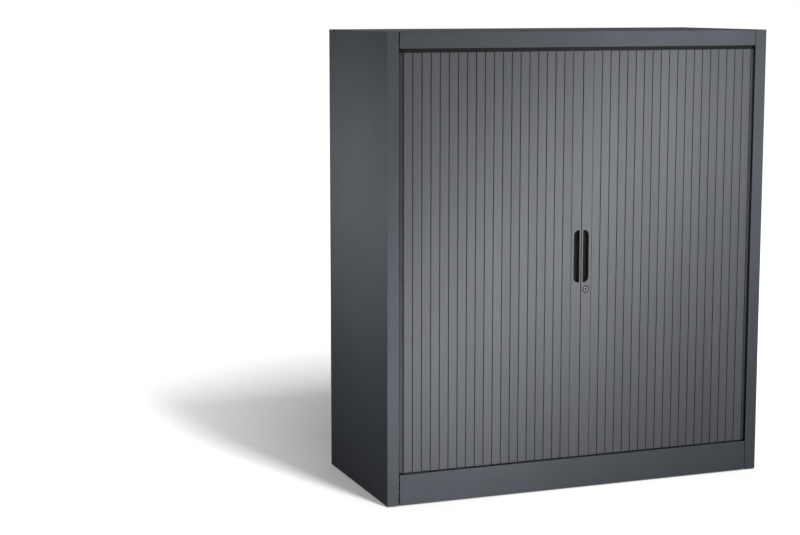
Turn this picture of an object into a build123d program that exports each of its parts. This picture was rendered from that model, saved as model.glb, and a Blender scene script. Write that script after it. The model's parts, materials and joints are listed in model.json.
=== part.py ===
"""Low steel cabinet closed by two side-rolling shutters of vertical slats.

Millimetres, +Z up. The front faces -Y and +X is to the right, seen from the front. The origin is on
the floor under the middle of the cabinet. Every right-hand piece is modelled, and its left-hand twin
is its mirror image.
"""
from build123d import *
import math
import os

os.makedirs("parts", exist_ok=True)

cut = 1.0  # how far a cutting shape runs past the face that it cuts

# Cabinet
cabinet_width = 1000.0
cabinet_depth = 420.0
cabinet_height = 1115.0
floor_gap = 2.0  # carcass above the floor, with the feet wound right in

# Folded sheet steel
sheet = 1.0
bend_radius = 1.6  # outside radius of a folded edge
stile_gap = 2.2  # visible joint beside the fascia and the plinth
panel_gap = 1.2  # play round the rear flange of the top
fit_gap = 0.3  # play beside a folded hem
stile_width = 29.5
stile_hem = 2.5
frame_flange = 15.0  # flanges round the back and along the floor
fascia_height = 38.0
plinth_height = 73.0
plinth_lip = 1.8
plate_flange = 14.0  # upstand of the ceiling plate, downstand of the base plate
base_recess = 5.0  # base plate below the top edge of the plinth

# Shutter curtain
slat_pitch = 22.7
slat_thickness = 6.0
slat_groove = 2.0  # slit between two slat faces
slat_crown = 0.15
slat_edge = 0.8  # bevel along both edges of a slat face
slat_face = 0.75  # thickness of the face plate over the joint
slat_shoulder = 2.5  # from the joint to the body of the slat
neck_thickness = 0.8
socket_wall = 0.7
joint_play = 0.2
mouth_start = -32.0  # directions of the socket's opening, from the line of the curtain
mouth_end = 68.0
largest_turn = 80.0  # of one slat against the next, inwards
back_turn = 10.0  # and outwards, past the corner
curtain_setback = 2.5  # slat faces behind the front of the cabinet
tail_slats = 4  # slats that stay round the corner when the shutter is closed
corner_radius = 29.5  # centre line of the curtain
side_clearance = 17.0  # curtain to side wall
rear_clearance = 7.0  # curtain to outer back panel
liner_clearance = 3.0  # curtain to inner liners
rear_run = 100.0  # track behind the inner back panel

# Tracks
track_height = 9.0
track_web = 2.0
track_wall = 1.4
guide_thickness = 3.4  # guide pins of the slats and tenons of the shoes
guide_play = 0.4  # pin or tenon to groove wall
seat_gap = 0.3  # pin or tenon to groove floor
end_gap = 0.7  # slat end to track edge
meeting_gap = 0.2  # each track end to the middle of the cabinet
stop_length = 10.0
centre_stop_half = 2.6
stop_play = 0.1

# Lead rails
rail_gap = 0.9  # each rail to the middle of the cabinet
rail_width = 25.3
rail_depth = 20.0
rail_proud = 0.5  # rail faces in front of the slat faces
rail_front_wall = 1.6
rail_side_wall = 1.5
rail_lip = 6.0
rail_edge = 0.6
rail_overlap = 0.3  # socket ring into the side wall of the rail
shoe_length = 14.0
shoe_play = 0.1
shoe_inset = 3.0  # tenon of the shoe inside the rail edge
shoe_bevel = 0.8

# Recessed handles
handle_inset = 4.5  # from the middle of the cabinet
handle_width = 15.5
handle_length = 128.0
handle_height = 574.0  # centre above the floor
handle_depth = 14.8
handle_wall = 1.0
handle_outer_radius = 13.0
handle_inner_radius = 1.5
handle_rim = 1.5
handle_play = 0.15

# Lock
lock_x = 13.2
lock_below_handle = 17.0
bezel_radius = 8.75
bezel_thickness = 1.3
bezel_edge = 0.8
housing_radius = 7.5
housing_length = 10.8  # behind the rail face
plug_radius = 5.5
plug_play = 0.05
plug_recess = 1.0  # plug face behind the bezel face
keyway_width = 1.8
keyway_length = 6.5
keyway_depth = 4.0
spigot_size = 6.0
spigot_length = 3.6
hook_thickness = 2.5
hook_width = 9.0
hook_reach = 25.0
hook_nose_inner = 19.6
hook_nose_angle = 26.0
hook_hub_radius = 6.3
hook_gap = 0.5  # hook to lock housing
hook_screw_radius = 1.5
hook_screw_head = 4.2
hook_screw_head_height = 1.8
hook_screw_length = 7.0
lock_nut_width = 20.0
lock_nut_thickness = 3.0
window_play = 1.5  # hook to the windows in the rails
strike_play = 1.2  # hook to the window in the strike
strike_thickness = 1.5
strike_rivet_offset = 8.0  # rivets above and below the hook
strike_edge = 4.0
strike_rivet_radius = 1.5
strike_rivet_end = 0.6  # rivet past the strike

# Liners and shelves
liner_lead = 3.0  # liner ends past the centres of the curtain's corners
liner_return = 26.0
slot_width = 3.0
slot_height = 10.0
slot_pitch = 20.0
slot_margin = 44.0
slot_inset = 38.0  # slot columns from the front and the rear of the liner
shelf_count = 2
shelf_edge = 25.0
shelf_return = 12.0
shelf_play = 2.0  # shelf to liner
shelf_setback = 8.0  # shelf front behind the liner front
shelf_rear_gap = 3.0
clip_thickness = 1.2
clip_width = 22.0
clip_height = 37.0
clip_shelf_depth = 17.0
clip_tongue = 1.2  # tongue behind the liner
clip_play = 0.3

# Levelling feet
foot_inset_x = 45.0
foot_inset_y = 62.0
pad_radius = 16.0
pad_height = 10.0
pad_edge = 1.0
collar_radius = 7.0
collar_height = 3.0
collar_floor = 4.0
collar_play = 0.3
spindle_radius = 4.0
spindle_top = 58.0
spindle_slot_width = 1.2
spindle_slot_depth = 2.0
thread_play = 0.05
bracket_level = 28.0
bracket_sheet = 2.0
bracket_width = 56.0
bracket_length = 80.0
bracket_hole_play = 0.6
foot_nut_width = 13.0
foot_nut_height = 6.5
access_radius = 7.0
cap_rim = 2.0
cap_thickness = 1.5
cap_plug = 2.0
cap_play = 0.1

# Screws
back_screw_radius = 1.9
back_screw_head = 3.5
back_screw_length = 5.0
back_screw_rows = 5
back_screw_margin = 60.0
back_screw_spread = 300.0
track_screw_first = 60.0  # from the middle of the cabinet
track_screw_spacing = 170.0
track_screw_count = 3  # along half of the front
track_screw_side = 105.0  # each side of the middle of the side runs
track_screw_rear = 40.0  # from the rear end of the track
track_screw_radius = 1.2
track_screw_head = 1.8
track_screw_head_height = 0.8
track_screw_length = 5.0
screw_play = 0.05

# Places worked out from the sizes above
half_width = cabinet_width / 2
front = -cabinet_depth / 2
back = cabinet_depth / 2
front_inner = front + sheet
back_inner = back - 2 * sheet  # inner face of the back panel
stile_inner = half_width - stile_width
between_stiles = stile_inner - stile_gap
plate_half_width = half_width - bend_radius  # clear of the inside of the bends
hem_back = front + stile_hem + fit_gap
plinth_top = floor_gap + plinth_height
base_top = plinth_top - base_recess
ceiling = cabinet_height - fascia_height

curtain_half = slat_thickness / 2
path_front = front + curtain_setback + curtain_half
path_side = half_width - sheet - side_clearance - curtain_half
path_rear = back_inner - rear_clearance - curtain_half
corner_x = path_side - corner_radius
corner_y = path_front + corner_radius
track_end = corner_x - rear_run

socket_outer = curtain_half - slat_face - fit_gap
socket_inner = socket_outer - socket_wall
bead_radius = socket_inner - joint_play
rail_outer = rail_gap + rail_width
rail_joint = rail_outer + slat_groove / 2
flat_slats = round((corner_x - rail_joint) / slat_pitch)

groove_half = guide_thickness / 2 + guide_play
slat_bottom = base_top + track_height + end_gap
slat_top = ceiling - track_height - end_gap
guide_bottom = base_top + track_web + seat_gap
guide_top = ceiling - track_web - seat_gap

rail_front = path_front - curtain_half - rail_proud
rail_back = rail_front + rail_depth
rail_wall_back = rail_front + rail_front_wall
rail_side_outer = rail_joint - socket_outer + rail_overlap

liner_x = path_side - curtain_half - liner_clearance
liner_front = corner_y - liner_lead
liner_rear = path_rear - corner_radius + liner_lead
inner_back_rear = liner_rear + sheet

lock_height = handle_height - handle_length / 2 - lock_below_handle
lock_face = rail_front - bezel_thickness
housing_back = rail_front + housing_length
hook_front = housing_back + hook_gap
hook_back = hook_front + hook_thickness
plug_face = lock_face + plug_recess
plug_shoulder = hook_front
spigot_back = plug_shoulder + spigot_length
strike_face = -(rail_gap + rail_side_wall)

foot_x = half_width - foot_inset_x
foot_y = cabinet_depth / 2 - foot_inset_y
corners = {
    "front_left": (-foot_x, -foot_y),
    "front_right": (foot_x, -foot_y),
    "rear_left": (-foot_x, foot_y),
    "rear_right": (foot_x, foot_y),
}
slot_columns = (liner_front + slot_inset, liner_rear - slot_inset)
slot_rows = int((ceiling - base_top - 2 * slot_margin) / slot_pitch) + 1


# Helpers

def slab(x, y, z):
    """Box between two limits along each axis."""
    spans = (x, y, z)
    middle = [(low + high) / 2 for low, high in spans]
    size = [abs(high - low) for low, high in spans]
    return Pos(*middle) * Box(*size)


def rod(x, y, radius, z):
    """Upright cylinder between two heights."""
    return Pos(x, y, (z[0] + z[1]) / 2) * Cylinder(radius, z[1] - z[0])


def rod_along_y(x, z, radius, y):
    """Cylinder along Y between two depths."""
    return Pos(x, (y[0] + y[1]) / 2, z) * Rot(X=90) * Cylinder(radius, y[1] - y[0])


def folded(points, plane, start, end):
    """Sheet bent along an outer line, lying to the right of it, between two stations of a plane."""
    line = FilletPolyline(*points, radius=bend_radius)
    section = make_face(offset(line, amount=sheet, side=Side.RIGHT, closed=True).edges())
    return extrude(plane.offset(start) * section, amount=end - start)


def left_of(piece):
    """Mirror image in the middle plane of the cabinet."""
    return mirror(piece, about=Plane.YZ)


def group(solids):
    """Several separate solids in one node."""
    return Compound(children=[solid.solid() for solid in solids])


# Carcass

def back_screw_heights():
    """Heights of the screws down each side of the back."""
    low, high = floor_gap + back_screw_margin, cabinet_height - back_screw_margin
    step = (high - low) / (back_screw_rows - 1)
    return [low + row * step for row in range(back_screw_rows)]


def back_screw_places():
    """X and Z of every screw through the back panel."""
    side_x = half_width - frame_flange / 2
    sides = [(side * side_x, z) for side in (-1, 1) for z in back_screw_heights()]
    top_z = cabinet_height - frame_flange / 2
    base_z = base_top - plate_flange / 2
    spread = (-back_screw_spread, 0, back_screw_spread)
    return sides + [(x, z) for z in (top_z, base_z) for x in spread]


def side_panel():
    """Right side wall with its front stile, rear flange and floor flange."""
    flange_x = half_width - frame_flange
    outline = [(flange_x, back), (half_width, back), (half_width, front), (stile_inner, front),
               (stile_inner, front + stile_hem)]
    wall = folded(outline, Plane.XY, floor_gap, cabinet_height)
    wall += slab((flange_x, half_width - sheet / 2), (front + frame_flange, back - frame_flange),
                 (floor_gap, floor_gap + sheet))
    for z in back_screw_heights():
        wall -= rod_along_y(half_width - frame_flange / 2, z, back_screw_head + screw_play,
                            (back - sheet - cut, back + cut))
    return wall


def top_panel():
    """Top sheet with the front fascia, the rear flange and two side flanges, in one folded piece."""
    inner_back = back - sheet - panel_gap
    rear_half = half_width - frame_flange - panel_gap
    fascia = folded([(front, ceiling), (front, cabinet_height), (0, cabinet_height)],
                    Plane.YZ, -between_stiles, between_stiles)
    rear = folded([(hem_back, cabinet_height), (back, cabinet_height), (back, cabinet_height - frame_flange)],
                  Plane.YZ, -rear_half, rear_half)
    top = fascia + rear + slab((-plate_half_width, plate_half_width), (hem_back, inner_back),
                               (cabinet_height - sheet, cabinet_height))
    for side in (-1, 1):
        edge = side * plate_half_width
        top += slab((edge - side * sheet, edge), (hem_back, inner_back - 2 * sheet),
                    (cabinet_height - plate_flange, cabinet_height))
    for x in (-back_screw_spread, 0, back_screw_spread):
        top -= rod_along_y(x, cabinet_height - frame_flange / 2, back_screw_head + screw_play,
                           (back - sheet - cut, back + cut))
    return top


def level_plate(level, flange_end):
    """Plate across the carcass, notched round the stile hems, with a flange along each edge."""
    z = (level, level + sheet)
    flange = (min(level, flange_end), max(level + sheet, flange_end))
    plate = slab((-between_stiles, between_stiles), (front_inner, back_inner), z)
    plate += slab((-plate_half_width, plate_half_width), (hem_back, back_inner), z)
    plate += slab((-between_stiles, between_stiles), (front_inner, front_inner + sheet), flange)
    plate += slab((-between_stiles, between_stiles), (back_inner - sheet, back_inner), flange)
    for side in (-1, 1):
        edge = side * plate_half_width
        plate += slab((edge - side * sheet, edge), (hem_back, back_inner), flange)
    for x, y in track_screw_places():
        plate -= rod(x, y, track_screw_radius + screw_play, (level - cut, level + sheet + cut))
    return plate


def ceiling_panel():
    """Inner ceiling behind the fascia, which carries the upper tracks."""
    return level_plate(ceiling, ceiling + plate_flange)


def base_panel():
    """Bottom of the cabinet, which carries the lower tracks, with a hole over each foot."""
    plate = level_plate(base_top - sheet, base_top - plate_flange)
    for x, y in corners.values():
        plate -= rod(x, y, access_radius, (base_top - sheet - cut, base_top + cut))
    for x in (-back_screw_spread, 0, back_screw_spread):
        plate -= rod_along_y(x, base_top - plate_flange / 2, back_screw_radius + screw_play,
                             (back_inner - sheet - cut, back_inner + cut))
    return plate


def front_plinth():
    """Plinth rail between the stiles, with a lip along its top and a flange along the floor."""
    outline = [(front + frame_flange, floor_gap), (front, floor_gap), (front, plinth_top),
               (front + plinth_lip, plinth_top)]
    return folded(outline, Plane.YZ, -between_stiles, between_stiles)


def back_panel():
    """Outer back, inside the rear flanges."""
    panel = slab((-plate_half_width, plate_half_width), (back_inner, back_inner + sheet),
                 (floor_gap, cabinet_height - bend_radius))
    for x, z in back_screw_places():
        panel -= rod_along_y(x, z, back_screw_radius + screw_play,
                             (back_inner - cut, back_inner + sheet + cut))
    return panel


def inner_back_panel():
    """Back of the storage space, which keeps it apart from the shutters' rear runs."""
    return slab((-liner_x, liner_x), (liner_rear, inner_back_rear), (base_top, ceiling))


def back_screws():
    """Flat-headed screws through the rear flanges and the back panel."""
    def screw(x, z):
        return rod_along_y(x, z, back_screw_head, (back - sheet, back)) + rod_along_y(
            x, z, back_screw_radius, (back - sheet - back_screw_length, back - sheet))
    return group([screw(x, z) for x, z in back_screw_places()])


# Liners and shelves

def slot_height_at(row):
    """Height of the middle of one row of shelf slots."""
    return base_top + slot_margin + row * slot_pitch


def side_liner():
    """Right inner wall, folded inwards at front and rear, with two columns of shelf slots."""
    outline = [(liner_x - liner_return, liner_rear), (liner_x, liner_rear), (liner_x, liner_front),
               (liner_x - liner_return, liner_front)]
    wall = folded(outline, Plane.XY, base_top, ceiling)
    slots = [slab((liner_x - sheet - cut, liner_x + cut), (y - slot_width / 2, y + slot_width / 2),
                  (slot_height_at(row) - slot_height / 2, slot_height_at(row) + slot_height / 2))
             for y in slot_columns for row in range(slot_rows)]
    return wall - slots


def clip_row(shelf):
    """Slot row that takes the upper tongue of the clips of one shelf."""
    clear = (ceiling - base_top) / (shelf_count + 1)
    wanted = base_top + (shelf + 1) * clear - shelf_edge / 2
    return round((wanted - slot_height - base_top - slot_margin) / slot_pitch)


def clip_top(shelf):
    """Height of the face that one shelf rests on."""
    return slot_height_at(clip_row(shelf)) + slot_height


def shelf_clip(shelf, y):
    """Right clip: an upright plate hooked into two slots, and a ledge under the edge of the shelf."""
    face = liner_x - sheet
    top = clip_top(shelf)
    width = (y - clip_width / 2, y + clip_width / 2)
    clip = slab((face - clip_thickness, face), width, (top - clip_height, top))
    clip += slab((face - clip_shelf_depth, face), width, (top - clip_thickness, top))
    tongue = slot_width / 2 - clip_play
    for row in (clip_row(shelf), clip_row(shelf) - 1):
        z = slot_height_at(row)
        clip += slab((face, liner_x + clip_tongue), (y - tongue, y + tongue),
                     (z - slot_height / 2 + clip_play, z + slot_height / 2 - clip_play))
    return clip


def shelf_clips(shelf):
    """The four clips of one shelf."""
    right = [shelf_clip(shelf, y) for y in slot_columns]
    return group(right + [left_of(clip) for clip in right])


def shelf_panel(shelf):
    """Shelf with a folded edge all round, resting on its clips."""
    low = clip_top(shelf)
    high = low + shelf_edge
    near = liner_front + shelf_setback
    far = liner_rear - sheet - shelf_rear_gap
    half = liner_x - sheet - shelf_play
    outline = [(near + shelf_return, low), (near, low), (near, high), (far, high), (far, low),
               (far - shelf_return, low)]
    panel = folded(outline, Plane.YZ, -half, half)
    for side in (-1, 1):
        panel += slab((side * (half - sheet), side * half), (near + sheet, far - sheet),
                      (low, high - sheet / 2))
    return panel


# Tracks

def track_screw_places():
    """X and Y of the screws of all four tracks, which share their plan."""
    right = [(track_screw_first + count * track_screw_spacing, path_front)
             for count in range(track_screw_count)]
    right += [(path_side, -track_screw_side), (path_side, track_screw_side),
              (track_end + track_screw_rear, path_rear)]
    return right + [(-x, y) for x, y in right]


def path_band(half, start, stop):
    """Strip of a given half width along the guide path, from the middle round to the rear run."""
    outer = FilletPolyline((start, path_front - half), (path_side + half, path_front - half),
                           (path_side + half, path_rear + half), (stop, path_rear + half),
                           radius=corner_radius + half)
    inner = FilletPolyline((start, path_front + half), (path_side - half, path_front + half),
                           (path_side - half, path_rear - half), (stop, path_rear - half),
                           radius=corner_radius - half)
    ends = Line(outer @ 0, inner @ 0) + Line(outer @ 1, inner @ 1)
    return make_face((outer + inner + ends).edges())


def lower_track():
    """Right lower track: a moulded channel with its groove upwards, screwed to the base panel."""
    rib = groove_half + track_wall
    body = extrude(path_band(rib, meeting_gap, track_end), amount=track_height)
    groove = extrude(path_band(groove_half, 0, track_end - cut), amount=track_height)
    track = Pos(Z=base_top) * (body - Pos(Z=track_web) * groove)
    for x, y in track_screw_places():
        if x > 0:
            track -= rod(x, y, track_screw_radius + screw_play, (base_top, base_top + track_web))
            track -= rod(x, y, track_screw_head + screw_play,
                         (base_top + track_web - track_screw_head_height, base_top + track_web))
    return track


def lower_to_upper(piece):
    """The same piece upside down against the ceiling panel."""
    return mirror(piece, about=Plane.XY.offset((base_top + ceiling) / 2))


def lower_track_screws():
    """Flat-headed screws sunk into the floor of both lower grooves."""
    head_top = base_top + track_web
    head = (head_top - track_screw_head_height, head_top)
    shank = (head[0] - track_screw_length, head[0])
    return [rod(x, y, track_screw_head, head) + rod(x, y, track_screw_radius, shank)
            for x, y in track_screw_places()]


def both_ends(lower_solids):
    """Lower solids and their upper twins, in one node."""
    return group(lower_solids + [lower_to_upper(solid) for solid in lower_solids])


def lower_end_stop():
    """Rubber plug that closes the rear end of the right lower groove."""
    half = groove_half - stop_play
    return slab((track_end, track_end + stop_length), (path_rear - half, path_rear + half),
                (base_top + track_web, base_top + track_height - stop_play))


def lower_centre_stop():
    """Rubber block in the lower groove, where the two shutters meet."""
    half = groove_half - stop_play
    return slab((-centre_stop_half, centre_stop_half), (path_front - half, path_front + half),
                (base_top + track_web, base_top + track_height - stop_play))


# Shutter curtain

def joint_socket(centre_x):
    """Open ring that holds the bead of the next slat and lets it turn towards the inside."""
    mouth_low, mouth_high = math.radians(mouth_start), math.radians(mouth_end)
    reach = 3 * socket_outer
    mouth = make_face(Polyline(
        (0, 0), (reach * math.cos(mouth_low), reach * math.sin(mouth_low)), (reach, reach),
        (reach * math.cos(mouth_high), reach * math.sin(mouth_high)), close=True))
    ring = Circle(socket_outer) - Circle(socket_inner) - mouth
    return Pos(centre_x, 0) * ring


def slat_section():
    """Plan of one slat: crowned face plate, body, bead at the first joint, socket at the next."""
    left, right = slat_groove / 2, slat_pitch - slat_groove / 2
    face_back = slat_face - curtain_half
    edge_y = slat_crown + slat_edge / 2 - curtain_half
    crown_y = slat_crown - curtain_half
    sides = Polyline((left + slat_edge, crown_y), (left, edge_y), (left, face_back), (right, face_back),
                     (right, edge_y), (right - slat_edge, crown_y))
    crown = ThreePointArc((right - slat_edge, crown_y), (slat_pitch / 2, -curtain_half),
                          (left + slat_edge, crown_y))
    face = make_face((sides + crown).edges())
    body_end = slat_pitch - (socket_inner + socket_outer) / 2
    body_width = body_end - slat_shoulder
    body_height = curtain_half - face_back
    body_middle = Pos((slat_shoulder + body_end) / 2, curtain_half - body_height / 2)
    body = body_middle * Rectangle(body_width, body_height)
    body -= Pos(slat_pitch, 0) * Circle(socket_inner)
    neck = Pos((slat_shoulder + slat_edge) / 2, 0) * Rectangle(slat_shoulder + slat_edge, neck_thickness)
    return face + body + neck + Circle(bead_radius) + joint_socket(slat_pitch)


def slat():
    """One slat at the first joint, with a round guide pin at the middle of both ends."""
    solid = Pos(Z=slat_bottom) * extrude(slat_section(), amount=slat_top - slat_bottom)
    pins = [rod(slat_pitch / 2, 0, guide_thickness / 2, z)
            for z in ((guide_bottom, slat_bottom), (slat_top, guide_top))]
    return solid + pins


def outside_path(x, y):
    """Distance of a point outside the centre line of the right guide path."""
    if x <= corner_x:
        return path_front - y
    if y >= corner_y:
        return x - path_side
    return math.hypot(x - corner_x, y - corner_y) - corner_radius


def slat_places():
    """Joint position and heading of every slat: the middle of each one rides on the guide path."""
    x, y, heading = rail_joint, path_front, 0.0
    places = []
    for _ in range(flat_slats + tail_slats):
        low, high = heading - math.radians(back_turn), heading + math.radians(largest_turn)
        for _ in range(50):
            trial = (low + high) / 2
            middle = (x + slat_pitch / 2 * math.cos(trial), y + slat_pitch / 2 * math.sin(trial))
            low, high = (trial, high) if outside_path(*middle) > 0 else (low, trial)
        heading = round(low, 6)
        places.append(Location((x, y, 0), (0, 0, math.degrees(heading))))
        x += slat_pitch * math.cos(heading)
        y += slat_pitch * math.sin(heading)
    return places


# Lead rails with handle and lock

def rounded_window(play):
    """Front view of the handle recess: square towards the middle, rounded towards the slats."""
    width = handle_width + 2 * play
    length = handle_length + 2 * play
    window = Rectangle(width, length)
    outer = window.vertices().group_by(Axis.X)[-1]
    window = fillet(outer, handle_outer_radius + play)
    inner = window.vertices().group_by(Axis.X)[0]
    return fillet(inner, handle_inner_radius + play)


def handle_block(play, y_front, y_back):
    """Block with the outline of the handle recess, between two depths."""
    plane = Plane(origin=(handle_inset + handle_width / 2, y_back, handle_height), x_dir=(1, 0, 0),
                  z_dir=(0, -1, 0))
    return extrude(plane * rounded_window(play), amount=y_back - y_front)


def handle_shell():
    """Right moulded handle: a tray with a rim that bears on the back of the rail face."""
    tray_front = rail_front + handle_play
    tray_back = rail_front + handle_depth
    shell = handle_block(0, tray_front, tray_back)
    shell += handle_block(handle_rim, rail_wall_back, rail_wall_back + handle_wall)
    return shell - handle_block(-handle_wall, tray_front - cut, tray_back - handle_wall)


def rail_section():
    """Plan of the right lead rail: a channel open to the inside, with the first slat's socket."""
    left, right = rail_gap, rail_outer
    face = make_face(Polyline(
        (left + rail_edge, rail_front), (right - rail_edge, rail_front), (right, rail_front + rail_edge),
        (right, rail_wall_back), (left, rail_wall_back), (left, rail_front + rail_edge), close=True))
    depth = rail_back - rail_front - rail_edge
    middle_y = (rail_back + rail_front + rail_edge) / 2
    inner = Pos(left + rail_side_wall / 2, middle_y) * Rectangle(rail_side_wall, depth)
    outer = Pos(rail_side_outer - rail_side_wall / 2, middle_y) * Rectangle(rail_side_wall, depth)
    lip_y = rail_back - rail_side_wall / 2
    lips = [Pos(x, lip_y) * Rectangle(rail_lip, rail_side_wall)
            for x in (left + rail_lip / 2, rail_side_outer - rail_lip / 2)]
    return face + inner + outer + lips + Pos(rail_joint, path_front) * joint_socket(0)


def hook_window(play):
    """Gap that the hook swings through at the middle of the cabinet, with play all round."""
    return slab((strike_face - strike_thickness - cut, rail_gap + rail_side_wall + cut),
                (hook_front - play, hook_back + play),
                (lock_height - hook_reach - play, lock_height + hook_width / 2 + play))


def lead_rail():
    """Lead rail with the cut-out for its handle."""
    rail = Pos(Z=slat_bottom) * extrude(rail_section(), amount=slat_top - slat_bottom)
    return rail - handle_block(handle_play, rail_front - cut, rail_wall_back + cut)


def right_lead_rail():
    """Right rail, which also takes the lock."""
    rail = lead_rail() - rod_along_y(lock_x, lock_height, housing_radius + screw_play,
                                     (rail_front - cut, rail_wall_back + cut))
    return rail - hook_window(window_play)


def strike_rivet_heights():
    """Heights of the two rivets of the strike."""
    return (lock_height - hook_reach - strike_rivet_offset, lock_height + hook_width + strike_rivet_offset)


def strike_rivet(z):
    """Rivet through the wall of the left rail and the strike."""
    y = (hook_front + hook_back) / 2
    x = (strike_face - strike_thickness - strike_rivet_end, -rail_gap)
    return Pos((x[0] + x[1]) / 2, y, z) * Rot(Y=90) * Cylinder(strike_rivet_radius, x[1] - x[0])


def left_lead_rail():
    """Left rail, with the window that the hook enters."""
    rail = left_of(lead_rail()) - hook_window(window_play)
    for z in strike_rivet_heights():
        rail -= strike_rivet(z)
    return rail


def lock_strike():
    """Steel plate behind the wall of the left rail, which the nose of the hook catches."""
    low, high = strike_rivet_heights()
    plate = slab((strike_face - strike_thickness, strike_face),
                 (hook_front - strike_edge, hook_back + strike_edge),
                 (low - strike_edge, high + strike_edge))
    plate -= hook_window(strike_play)
    for z in (low, high):
        plate -= strike_rivet(z)
    return plate


def lower_shoe():
    """Right lower guide shoe: a plug in the end of the lead rail and a tenon in the groove."""
    plug = slab((rail_gap + rail_side_wall + shoe_play, rail_side_outer - rail_side_wall - shoe_play),
                (rail_wall_back + shoe_play, rail_back - rail_side_wall - shoe_play),
                (slat_bottom, slat_bottom + shoe_length))
    tenon = slab((shoe_inset, rail_side_outer - shoe_inset),
                 (path_front - guide_thickness / 2, path_front + guide_thickness / 2),
                 (guide_bottom, slat_bottom + cut))
    bevel_edges = tenon.edges().filter_by(Axis.Z)
    return plug + chamfer(bevel_edges, shoe_bevel)


def lock_housing():
    """Lock barrel with the round bezel in front of the rail."""
    bezel = rod_along_y(lock_x, lock_height, bezel_radius, (lock_face, rail_front))
    rim = bezel.edges().filter_by(GeomType.CIRCLE).group_by(Axis.Y)[0]
    bezel = chamfer(rim, bezel_edge)
    barrel = rod_along_y(lock_x, lock_height, housing_radius, (rail_front, housing_back))
    return bezel + barrel - rod_along_y(lock_x, lock_height, plug_radius + plug_play,
                                        (lock_face - cut, housing_back + cut))


def lock_nut():
    """Flat hexagon nut that clamps the housing to the rail face."""
    plane = Plane(origin=(lock_x, rail_wall_back, lock_height), x_dir=(1, 0, 0), z_dir=(0, 1, 0))
    hexagon = RegularPolygon(lock_nut_width / 2, 6, major_radius=False, rotation=30)
    nut = extrude(plane * hexagon, amount=lock_nut_thickness)
    return nut - rod_along_y(lock_x, lock_height, housing_radius + screw_play,
                             (rail_wall_back - cut, rail_wall_back + lock_nut_thickness + cut))


def lock_plug():
    """Turning plug with a keyway in front and a square spigot for the hook behind."""
    plug = rod_along_y(lock_x, lock_height, plug_radius, (plug_face, plug_shoulder))
    half = spigot_size / 2
    plug += slab((lock_x - half, lock_x + half), (plug_shoulder, spigot_back),
                 (lock_height - half, lock_height + half))
    plug -= slab((lock_x - keyway_width / 2, lock_x + keyway_width / 2),
                 (plug_face - cut, plug_face + keyway_depth),
                 (lock_height - keyway_length / 2, lock_height + keyway_length / 2))
    return plug - rod_along_y(lock_x, lock_height, hook_screw_radius + screw_play,
                              (spigot_back - hook_screw_length, spigot_back + cut))


def lock_hook():
    """Hook on the spigot, hanging down when unlocked, with its nose towards the left rail."""
    reach = 2 * hook_reach
    sector = make_face(Polyline(
        (0, 0), (0, -reach), (-reach * math.tan(math.radians(hook_nose_angle)), -reach), close=True))
    nose = (Circle(hook_reach) - Circle(hook_nose_inner)) & sector
    arm = (Pos(0, -hook_reach / 2) * Rectangle(hook_width, hook_reach)) & Circle(hook_reach)
    profile = nose + arm + Circle(hook_hub_radius)
    profile -= Rectangle(spigot_size + 2 * screw_play, spigot_size + 2 * screw_play)
    plane = Plane(origin=(lock_x, hook_back, lock_height), x_dir=(1, 0, 0), z_dir=(0, -1, 0))
    return extrude(plane * profile, amount=hook_thickness)


def hook_screw():
    """Screw that holds the hook on the spigot."""
    head = rod_along_y(lock_x, lock_height, hook_screw_head,
                       (spigot_back, spigot_back + hook_screw_head_height))
    shank = rod_along_y(lock_x, lock_height, hook_screw_radius,
                        (spigot_back - hook_screw_length + screw_play, spigot_back))
    return head + shank


# Levelling feet

def foot_bracket(x, y):
    """Channel under the base panel that carries the weld nut of one foot."""
    half_w, half_l = bracket_width / 2, bracket_length / 2
    under_base = base_top - sheet
    plate = slab((x - half_w, x + half_w), (y - half_l, y + half_l),
                 (bracket_level, bracket_level + bracket_sheet))
    for side in (-1, 1):
        edge = x + side * half_w
        plate += slab((edge - side * bracket_sheet, edge), (y - half_l, y + half_l),
                      (bracket_level, under_base))
    return plate - rod(x, y, spindle_radius + bracket_hole_play,
                       (bracket_level - cut, bracket_level + bracket_sheet + cut))


def foot_nut(x, y):
    """Weld nut on the bracket."""
    level = bracket_level + bracket_sheet
    hexagon = RegularPolygon(foot_nut_width / 2, 6, major_radius=False)
    nut = Pos(x, y, level) * extrude(hexagon, amount=foot_nut_height)
    return nut - rod(x, y, spindle_radius + thread_play, (level - cut, level + foot_nut_height + cut))


def foot_spindle(x, y):
    """Threaded spindle with a collar held in the pad and a driver slot on top."""
    spindle = rod(x, y, collar_radius, (collar_floor, collar_floor + collar_height))
    spindle += rod(x, y, spindle_radius, (collar_floor, spindle_top))
    return spindle - slab((x - spindle_radius - cut, x + spindle_radius + cut),
                          (y - spindle_slot_width / 2, y + spindle_slot_width / 2),
                          (spindle_top - spindle_slot_depth, spindle_top + cut))


def foot_pad(x, y):
    """Round pad on the floor, moulded round the collar of the spindle."""
    pad = rod(x, y, pad_radius, (0, pad_height))
    rims = pad.edges().filter_by(GeomType.CIRCLE)
    pad = chamfer(rims, pad_edge)
    pad -= rod(x, y, collar_radius + collar_play,
               (collar_floor - collar_play, collar_floor + collar_height + collar_play))
    return pad - rod(x, y, spindle_radius + collar_play, (collar_floor, pad_height + cut))


def access_cap(x, y):
    """Plastic cap in the hole over one foot."""
    rim = rod(x, y, access_radius + cap_rim, (base_top, base_top + cap_thickness))
    return rim + rod(x, y, access_radius - cap_play, (base_top - cap_plug, base_top))


# All nodes

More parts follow.
